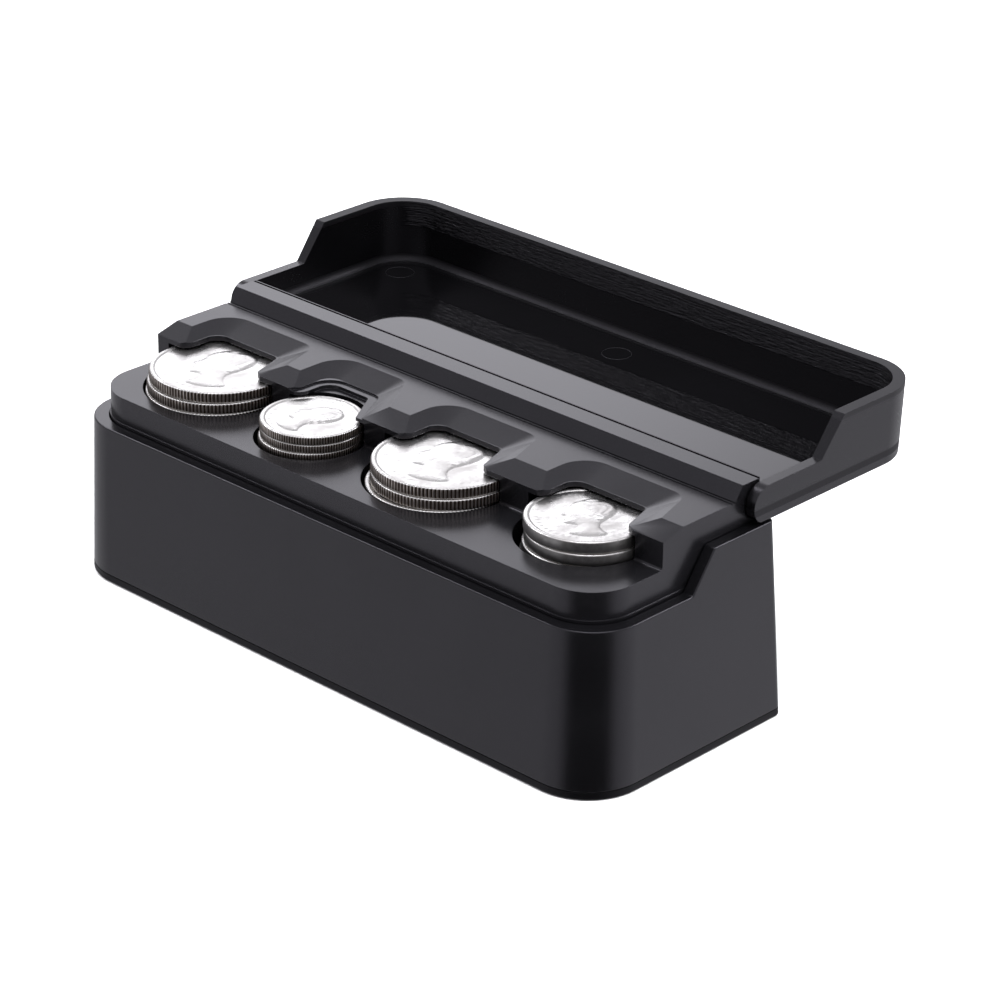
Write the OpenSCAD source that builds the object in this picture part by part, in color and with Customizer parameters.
// Spring-loaded coin holder with four coin wells and a hinged lid.
// The lid is modelled fully open: it lies upside down behind the box.
// Origin: centre of the flat underside. +X along the length, +Y towards the hinge, +Z up. Millimetres.

/* [Box] */
// Length of the box at its foot
box_len = 123.5; // [121:0.5:126]
// Depth of the box at its foot
box_dep = 46.3; // [46.2:0.1:46.6]
// Height of the front rim
rim_h = 29; // [28:0.5:29]
// Height of the rim beside the hinge
back_rim_h = 35.6; // [35:0.1:35.6]
// Radius of the front corners at the foot
front_r = 10.5; // [9:0.5:12]
// Radius of the back corners
back_r = 1.5; // [1.2:0.1:3]
// Draft of the front and the ends, mm per mm of height
draft = 0.032; // [0.02:0.002:0.034]
// Draft of the back, mm per mm of height
back_draft = 0.0787; // [0.07:0.001:0.08]
// Wall thickness at the rim
shell_wall = 2.2; // [1.8:0.1:2.2]

/* [Bottom plate] */
// Thickness of the visible edge of the bottom plate
plate_t = 1.5; // [1.2:0.1:2]
// Radius of the foot's rounded edge
foot_r = 0.6; // [0.3:0.1:1]

/* [Top tray] */
// Height of the deck around the coins
deck_z = 34.3; // [34:0.1:34.6]
// Height of the platform behind the coins
platform_z = 40.3; // [40:0.1:40.4]
// Height of the platform's front edge, which is the top of the prongs
prong_z = 39.1; // [38.8:0.1:39.4]
// Height of the ridge that carries the hinge
ridge_z = 42.7; // [42.4:0.1:42.8]
// Underside of the lips that hold the coins down
lip_z = 38.2; // [38.1:0.1:38.3]
// Wall thickness of the tray
tray_wall = 1.6; // [1.2:0.1:1.8]

/* [Coins] */
// Coins in each well
coins_per_stack = 6; // [4:1:6]
// Travel of each pusher
push_travel = 16; // [10:1:16]

/* [Lid] */
// Radius of the rounded arm ends, which is also half the arms' height
arm_r = 3.25; // [3:0.05:3.25]
// Thickness of the lid's skin
skin_t = 1.65; // [1.5:0.05:1.7]
// Radius of the lid's outer edge
lid_edge_r = 0.5; // [0.3:0.1:1.8]
// Radius of the hinge pins
pin_r = 1.5; // [1.2:0.1:1.6]

/* [Hidden] */
$fn = 96;
eps = 0.01;
arc_steps = 14;

plastic = "#2b2b2e";
inner_plastic = "#3a3a3e";
steel = "#b9bcc2";
silver = "#d9dadd";

// One entry per well: centre, well radius, coin radius, coin thickness
wells = [
    [[-42.45, -4.35], 13.1, 12.13, 1.85],
    [[-16.1, -7.9], 9.6, 8.8, 1.48],
    [[10.7, -4.25], 13.1, 12.13, 1.85],
    [[41.3, -3.45], 11.3, 10.1, 2.05]
];
function well_at(i) = wells[i][0];
function well_r(i) = wells[i][1];
function coin_r(i) = wells[i][2];
function coin_t(i) = wells[i][3];
well_wall = 1.4;
// The smallest well has a broader collar under its lip, which closes the corners of its notch
broad_collar = 4;
well_foot_z = 5;
// Top of every stack, pressed up just under the lips
stack_top = lip_z - 0.2;

// One entry per notch: left wall, right end at the back, back wall, tip of the prong on its right
notches = [
    [-51.2, -36.0, 3.35, [-34.0, -3.3]],
    [-22.6, -13.3, 2.8, [-8.9, -4.7]],
    [2.3, 17.0, 3.35, [19.15, -3.35]],
    [33.0, 48.3, 3.35, [50.3, -3.3]]
];

// The hinge line, from the clearances around it
hinge_y = 18.15;
hinge_z = back_rim_h + 0.25 + arm_r;

// Tray outline
tray_half = 58.35;
tray_front = -19.85;
tray_back = 18.1;
ridge_back = 18.9;
ridge_top_front = 14.45;
ridge_foot = 12.75;
prong_y = -4.25;
bevel_y = 0.35;
tray_skirt_z = 24;
tray_band = 0.12;
tray_band_z = 29.5;
tray_r = 8.5;

// Where the rims step up towards the hinge
step_y0 = 0.45;
step_y1 = 5.55;

// Screws
screw_places = [[-54, 12.5], [54, 12.5], [-28, -16.1], [28, -16.1]];
screw_boss_r = 2.8;
screw_r = 1.2;
screw_head_r = 2.5;
screw_len = 12;
screw_seat_z = 1.9;
boss_foot_z = 3.5;

// Points of an arc of radius r that rounds the corner p1 between p0 and p2
function unit(v) = v / norm(v);
function turn_sign(p0, p1, p2) =
    sign((p1[0] - p0[0]) * (p2[1] - p1[1]) - (p1[1] - p0[1]) * (p2[0] - p1[0]));
function corner_arc(p0, p1, p2, r, n) =
    let (
        u = unit(p0 - p1), v = unit(p2 - p1),
        half = acos(u * v) / 2,
        c = p1 + unit(u + v) * r / sin(half),
        s = p1 + u * r / tan(half) - c,
        a0 = atan2(s[1], s[0]),
        sweep = turn_sign(p0, p1, p2) * (180 - 2 * half)
    )
    [for (i = [0:n]) c + r * [cos(a0 + sweep * i / n), sin(a0 + sweep * i / n)]];
// Outline with rounded corners from a list of [x, y, radius]; a radius of 0 leaves the corner sharp
function rounded(pts, n = arc_steps) =
    let (m = len(pts))
    [for (i = [0:m - 1])
        let (
            p0 = [pts[(i + m - 1) % m][0], pts[(i + m - 1) % m][1]],
            p1 = [pts[i][0], pts[i][1]],
            p2 = [pts[(i + 1) % m][0], pts[(i + 1) % m][1]]
        )
        each (pts[i][2] > 0 ? corner_arc(p0, p1, p2, pts[i][2], n) : [p1])];
// Rectangle with its own radius for the front and the back corners
function plan(half, front, back, rf, rb) =
    rounded([[-half, front, rf], [half, front, rf], [half, back, rb], [-half, back, rb]]);
function lift(outline, z) = [for (p = outline) [p[0], p[1], z]];

// Closed skin through rings of equally many points, bottom ring first, each counter-clockwise from above
module loft(rings) {
    n = len(rings[0]);
    m = len(rings);
    polyhedron(
        points = [for (ring = rings) each ring],
        faces = concat(
            [[for (i = [0:n - 1]) i]],
            [for (k = [0:m - 2]) for (i = [0:n - 1])
                [k * n + i, (k + 1) * n + i, (k + 1) * n + (i + 1) % n, k * n + (i + 1) % n]],
            [[for (i = [n - 1:-1:0]) (m - 1) * n + i]]
        ),
        convexity = 6
    );
}

// Prism along X from a side profile of [y, z] points
module side_prism(profile, half) {
    rotate([90, 0, 90]) translate([0, 0, -half]) linear_extrude(2 * half) polygon(profile);
}

// --- Box ---

// Outer outline of the box at height z, inset by d
function box_plan(z, d = 0) = plan(
    box_len / 2 - draft * z - d,
    -box_dep / 2 + draft * z + d,
    box_dep / 2 - back_draft * z - d,
    front_r - draft * z - d,
    max(back_r - d, 0.3)
);
// Inner outline of the box at height z
inner_draft = 0.025;
inner_back_draft = 0.07;
function cavity_plan(z) = plan(
    box_len / 2 - draft * rim_h - shell_wall + inner_draft * (rim_h - z),
    -box_dep / 2 + draft * rim_h + shell_wall - inner_draft * (rim_h - z),
    box_dep / 2 - back_draft * back_rim_h - shell_wall + 0.15 + inner_back_draft * (back_rim_h - z),
    tray_r + 0.1,
    0.5
);
rim_profile = [
    [-box_dep, rim_h], [step_y0, rim_h], [step_y1, back_rim_h],
    [box_dep, back_rim_h], [box_dep, 60], [-box_dep, 60]
];

module support_rib(x, y, along_x) {
    w = 1.6;
    d = 3;
    size = along_x ? [w, d, tray_skirt_z - plate_t - 3] : [d, w, tray_skirt_z - plate_t - 3];
    translate([x - size[0] / 2, y - size[1] / 2, plate_t + 3]) cube(size);
}

module base_shell() color(plastic) {
    difference() {
        loft([for (z = [plate_t, back_rim_h + 1]) lift(box_plan(z), z)]);
        loft([for (z = [plate_t - 1, back_rim_h + 2]) lift(cavity_plan(z), z)]);
        side_prism(rim_profile, box_len);
    }
    for (x = [-23.5, 23.5]) support_rib(x, -20.1, true);
    for (x = [-40, 0, 40]) support_rib(x, 19, true);
    for (s = [-1, 1]) support_rib(s * 58.7, 3.3, false);
}

// Rounded foot: quarter circle from the underside up to the full outline
function foot_ring(a) = let (z = foot_r * (1 - cos(a))) lift(box_plan(z, foot_r * (1 - sin(a))), z);

module bottom_plate() color(plastic) {
    difference() {
        union() {
            loft(concat([for (a = [0:22.5:90]) foot_ring(a)], [lift(box_plan(plate_t), plate_t)]));
            // Rim that centres the plate inside the shell
            difference() {
                loft([for (z = [plate_t - eps, plate_t + 2]) lift(plan(58.9, -20.4, 19.9, 8.6, 1), z)]);
                loft([for (z = [plate_t - 1, plate_t + 3]) lift(plan(57.7, -19.2, 18.7, 7.4, 0.8), z)]);
            }
            for (p = screw_places)
                translate([p[0], p[1], plate_t - eps]) cylinder(r = 4.2, h = boss_foot_z - plate_t + eps);
            // Spigots that centre the springs
            for (i = [0:3])
                translate([well_at(i)[0], well_at(i)[1], plate_t - eps])
                    cylinder(r = spring_r(i) - spring_wire / 2 - 0.3, h = 2.5);
        }
        for (p = screw_places) translate([p[0], p[1], 0]) {
            translate([0, 0, -1]) cylinder(r = screw_head_r + 0.4, h = screw_seat_z + 1);
            cylinder(r = screw_r + 0.3, h = boss_foot_z + 1);
        }
    }
}

// --- Top tray ---

// Two fine grooves with a bead between them run along the foot of the ridge
groove_w = 0.33;
groove_z = platform_z - 0.3;
// One more runs along the back edge of the ridge's top
back_groove = [ridge_back - 0.7, ridge_back - 0.25];
back_groove_z = ridge_z - 0.3;
prong_fillet = 0.5;
tray_profile = concat(
    [[tray_front - 1, tray_skirt_z], [tray_front - 1, deck_z]],
    [for (a = [270:18:360])
        [prong_y - prong_fillet + prong_fillet * cos(a), deck_z + prong_fillet + prong_fillet * sin(a)]],
    [[prong_y, prong_z], [bevel_y, platform_z]],
    [for (k = [3, 1]) each [
        [ridge_foot - k * groove_w, platform_z], [ridge_foot - k * groove_w, groove_z],
        [ridge_foot - (k - 1) * groove_w, groove_z], [ridge_foot - (k - 1) * groove_w, platform_z]
    ]],
    [
        [ridge_top_front, ridge_z],
        [back_groove[0], ridge_z], [back_groove[0], back_groove_z],
        [back_groove[1], back_groove_z], [back_groove[1], ridge_z],
        [ridge_back, ridge_z], [ridge_back, back_rim_h + 0.15],
        [tray_back, back_rim_h + 0.15], [tray_back, tray_skirt_z]
    ]
);
tray_hollow = [
    [tray_front, tray_skirt_z - 1], [tray_front, deck_z - 1.7], [prong_y + tray_wall, deck_z - 1.7],
    [prong_y + tray_wall, lip_z], [ridge_foot - 0.4, lip_z], [ridge_foot - 0.4, deck_z],
    [tray_back - tray_wall, deck_z - 2], [tray_back - tray_wall, tray_skirt_z - 1]
];

// A slice of the space above the deck and behind the prongs' front faces, down to height z
function behind_prongs(z) = [
    [prong_y, z], [prong_y, lip_z + eps], [ridge_foot, lip_z + eps], [ridge_foot, z]
];

module tray_body() {
    intersection() {
        union() {
            loft([for (z = [tray_skirt_z, ridge_z])
                lift(plan(tray_half, tray_front, ridge_back, tray_r, 0.6), z)]);
            loft([for (z = [tray_skirt_z, tray_band_z])
                lift(plan(tray_half + tray_band, tray_front - tray_band, ridge_back, tray_r, 0.6), z)]);
        }
        side_prism(tray_profile, tray_half + 5);
    }
}

module tray_cavity() {
    intersection() {
        loft([for (z = [tray_skirt_z - 2, ridge_z])
            lift(plan(tray_half - tray_wall, tray_front + tray_wall, ridge_back, tray_r - tray_wall, 0.6), z)]);
        side_prism(tray_hollow, tray_half);
    }
}

module well_tube(i) {
    at = well_at(i);
    translate([at[0], at[1], well_foot_z])
        cylinder(r = well_r(i) + well_wall, h = deck_z - 1 - well_foot_z);
    collar = i == 1 ? broad_collar : well_wall;
    intersection() {
        translate([at[0], at[1], deck_z - 2]) cylinder(r = well_r(i) + collar, h = lip_z - deck_z + 3);
        side_prism(behind_prongs(deck_z - 2), tray_half - 1);
    }
}

module well_bore(i) {
    at = well_at(i);
    translate([at[0], at[1], well_foot_z - 1]) cylinder(r = well_r(i), h = lip_z - well_foot_z + 1);
    // Straight way out to the front for wells whose centre lies behind the prongs' faces
    translate([at[0] - well_r(i), prong_y - 6, deck_z]) cube([2 * well_r(i), at[1] - prong_y + 6, lip_z - deck_z]);
}

notch_front = -12.7;
// Ledge inside the notch of the smallest well
ledge_w = 1.4;
ledge_drop = 0.3;
// Plan of the notch over a well, grown by d; the right wall leans towards the prong's tip
function notch_plan(i, d = 0) =
    let (q = notches[i], tip = q[3])
    rounded([
        [q[0] - d - 3.2, notch_front, 0],
        [tip[0] + d + 6, notch_front, 0],
        [tip[0] + d + 3.2, prong_y - 0.9, 0],
        [tip[0] + d, tip[1], 1.1],
        [q[1] + d, q[2] + d, 1.2 + d],
        [q[0] - d, q[2] + d, 2.6 + d],
        [q[0] - d, prong_y + 0.1, 2.4],
        [q[0] - d - 3.2, prong_y - 0.35, 0]
    ], 8);

module notch(i) {
    translate([0, 0, lip_z - eps]) linear_extrude(6) polygon(notch_plan(i));
}

// Sloping hollow that runs round the sides and the back of a notch, from its edge up to the platform
scoop_back = 5.6;
scoop_left = 3.2;
scoop_right = 4.5;
function scoop_plan(i, d, grow) =
    let (
        q = notches[i], tip = q[3],
        lean = (tip[0] - q[1]) / (q[2] - tip[1]),
        back = q[2] + d + scoop_back * grow
    )
    rounded([
        [q[0] - d - scoop_left * grow, notch_front, 0],
        [tip[0] + lean * (tip[1] - notch_front) + d + scoop_right * grow, notch_front, 0],
        [q[1] - lean * (d + scoop_back * grow) + d + scoop_right * grow, back, 1 + 2 * grow],
        [q[0] - d - scoop_left * grow, back, 2.6 + 2.5 * grow]
    ], 8);
module scoop(i) {
    high = platform_z + 0.3;
    grow = (high - prong_z) / (platform_z - prong_z);
    d = i == 1 ? ledge_w + 0.1 : 0.15;
    loft([lift(scoop_plan(i, d, 0), prong_z), lift(scoop_plan(i, d, grow), high)]);
}

module screw_boss(p, top) {
    difference() {
        translate([p[0], p[1], boss_foot_z]) cylinder(r = screw_boss_r, h = top - boss_foot_z);
        translate([p[0], p[1], boss_foot_z - 1]) cylinder(r = screw_r + 0.05, h = screw_len);
    }
}

module coin_tray() color(plastic) {
    difference() {
        union() {
            difference() {
                tray_body();
                tray_cavity();
            }
            for (i = [0:3]) well_tube(i);
        }
        for (i = [0:3]) {
            well_bore(i);
            notch(i);
            scoop(i);
        }
        // Hollow that widens the lip of the smallest well into a second, lower step
        translate([0, 0, prong_z - ledge_drop]) linear_extrude(4) polygon(notch_plan(1, ledge_w));
        for (s = [-1, 1])
            translate([s * (tray_half - 1), hinge_y, hinge_z]) rotate([0, 90, 0])
                cylinder(r = pin_r + 0.06, h = 4.5, center = true);
    }
    for (i = [0:3]) screw_boss(screw_places[i], i < 2 ? lip_z + eps : deck_z - 1);
}

// --- Lid, drawn open ---

lid_gap = 0.35;
lid_inner = tray_half + lid_gap;
lid_rim_z = 2 * hinge_z - rim_h - 0.25;
lid_low_z = hinge_z + arm_r;
lid_skin_z = hinge_z - arm_r;
lid_rim_half = box_len / 2 - draft * rim_h;
lid_rim_y = 2 * hinge_y + box_dep / 2 - draft * rim_h;
lid_wall = 2.0;
lid_r = front_r - draft * rim_h + 0.4;
skin_edge_y = 4.65;
skin_edge_lean = 0.8;

// Outer outline of the lid at height z, inset by d, with its corners away from the hinge
function lid_plan(z, d = 0) =
    let (k = draft * (lid_rim_z - z) + d)
    rounded([
        [-lid_rim_half + k, hinge_y - 8, 0], [lid_rim_half - k, hinge_y - 8, 0],
        [lid_rim_half - k, lid_rim_y - k, lid_r - k], [-lid_rim_half + k, lid_rim_y - k, lid_r - k]
    ], 18);
function lid_inner_plan(z, d = 0) =
    let (k = 0.015 * (lid_rim_z - z) + d)
    rounded([
        [-lid_inner + d, hinge_y - 9, 0], [lid_inner - d, hinge_y - 9, 0],
        [lid_inner - d, lid_rim_y - lid_wall - k, lid_r - lid_wall - k],
        [-lid_inner + d, lid_rim_y - lid_wall - k, lid_r - lid_wall - k]
    ], 18);
lid_fillet_r = 1.1;

// Everything of the lid's walls that is kept, seen from the side
lid_profile = concat(
    [for (a = [90:10:270]) [hinge_y + arm_r * cos(a), hinge_z + arm_r * sin(a)]],
    [
        [lid_rim_y + 1, lid_skin_z], [lid_rim_y + 1, lid_rim_z],
        [2 * hinge_y - step_y0 + 0.35, lid_rim_z], [2 * hinge_y - step_y1 + 0.35, lid_low_z]
    ]
);
// The skin is missing between the arms, so that it clears the ridge as the lid turns
arm_gap = [
    [hinge_y - 10, lid_skin_z - 1], [hinge_y + skin_edge_y - 0.5, lid_skin_z - 1],
    [hinge_y + skin_edge_y, lid_skin_z], [hinge_y + skin_edge_y + skin_edge_lean, lid_skin_z + skin_t],
    [hinge_y + skin_edge_y + skin_edge_lean, lid_skin_z + 20], [hinge_y - 10, lid_skin_z + 20]
];

module lid() color(inner_plastic) {
    intersection() {
        difference() {
            loft(concat(
                [for (a = [0:18:90]) let (z = lid_skin_z + lid_edge_r * (1 - cos(a)))
                    lift(lid_plan(z, lid_edge_r * (1 - sin(a))), z)],
                [lift(lid_plan(lid_rim_z), lid_rim_z)]
            ));
            loft(concat(
                [for (a = [0:18:90]) let (z = lid_skin_z + skin_t + lid_fillet_r * (1 - cos(a)))
                    lift(lid_inner_plan(z, lid_fillet_r * (1 - sin(a))), z)],
                [lift(lid_inner_plan(lid_rim_z + 1), lid_rim_z + 1)]
            ));
            side_prism(arm_gap, lid_inner);
        }
        side_prism(lid_profile, box_len);
    }
    for (s = [-1, 1])
        translate([s * (lid_inner - 1.3), hinge_y, hinge_z]) rotate([0, 90, 0])
            cylinder(r = pin_r, h = 3, center = true);
}

// --- Screws ---

module screws() color(steel) {
    for (p = screw_places) translate([p[0], p[1], 0]) {
        difference() {
            translate([0, 0, 0.4]) cylinder(r = screw_head_r, h = screw_seat_z - 0.4);
            for (a = [0, 90]) rotate([0, 0, a]) translate([-1.5, -0.3, 0]) cube([3, 0.6, 1]);
        }
        translate([0, 0, screw_seat_z - eps]) cylinder(r = screw_r, h = screw_len - screw_seat_z);
    }
}

// --- Pushers and springs ---

spring_wire = 0.8;
spring_turns = 7;
pusher_disc = 1.8;
pusher_h = 7;
pusher_gap = 0.35;
function spring_r(i) = well_r(i) - 4.6;
function pusher_top(i) = stack_top - coins_per_stack * coin_t(i);

module pusher(i) color(inner_plastic) {
    at = well_at(i);
    r = well_r(i) - pusher_gap;
    translate([at[0], at[1], pusher_top(i) - pusher_h]) difference() {
        cylinder(r = r, h = pusher_h);
        translate([0, 0, -eps]) cylinder(r = r - 1.2, h = pusher_h - pusher_disc);
    }
}

// Coil spring: a round wire swept along a helix, with closed ends
function helix_point(r, h, turns, t) = [r * cos(360 * turns * t), r * sin(360 * turns * t), h * t];
module coil(r, h, turns, wire) {
    steps = turns * 12;
    sides = 6;
    rings = [for (k = [0:steps])
        let (t = k / steps, a = 360 * turns * t, c = helix_point(r, h, turns, t))
        [for (j = [0:sides - 1]) let (b = 360 * j / sides)
            c + wire / 2 * [cos(b) * cos(a), cos(b) * sin(a), sin(b)]]];
    n = sides;
    polyhedron(
        points = [for (ring = rings) each ring],
        faces = concat(
            [[for (i = [n - 1:-1:0]) i]],
            [for (k = [0:steps - 1]) for (i = [0:n - 1])
                [k * n + i, k * n + (i + 1) % n, (k + 1) * n + (i + 1) % n, (k + 1) * n + i]],
            [[for (i = [0:n - 1]) steps * n + i]]
        ),
        convexity = 10
    );
}
module spring(i) color(steel) {
    at = well_at(i);
    z0 = plate_t + spring_wire / 2;
    z1 = pusher_top(i) - pusher_disc - spring_wire / 2;
    translate([at[0], at[1], z0]) coil(spring_r(i), z1 - z0, spring_turns, spring_wire);
}

// --- Coins ---

coin_rim = 0.7;
coin_dish = 0.12;
// Coins sit a little off the well's centre: the [x, y] shifts of each stack's first three, top first
coin_shifts = [
    [[0.1, 0.05], [0.15, -0.5], [0.05, -0.85]],
    [[0.25, 0.1], [0.3, 0.15], [0.15, -0.15]],
    [[0.5, 0.35], [0.75, 0], [0.3, -0.85]],
    [[0.53, 0.05], [0.86, -0.05], [0.6, -0.3]]
];
lower_shifts = [[-0.15, 0.15], [0.1, 0.1], [-0.1, -0.1]];
function coin_shift(i, level) = level < 3 ? coin_shifts[i][level] : lower_shifts[level - 3];

module coin(i, level) {
    at = well_at(i) + coin_shift(i, level);
    t = coin_t(i);
    translate([at[0], at[1], stack_top - (level + 1) * t]) difference() {
        cylinder(r = coin_r(i), h = t);
        for (z = [-1, t - coin_dish]) translate([0, 0, z])
            cylinder(r = coin_r(i) - coin_rim, h = 1 + coin_dish);
    }
}
module coins(i, from, to) color(silver) {
    for (level = [from:to]) coin(i, level);
}

base_shell();
bottom_plate();
coin_tray();
lid();
screws();
for (i = [0:3]) {
    pusher(i);
    spring(i);
    coins(i, 0, 0);
    coins(i, 1, 1);
    coins(i, 2, 2);
    coins(i, 3, coins_per_stack - 1);
}
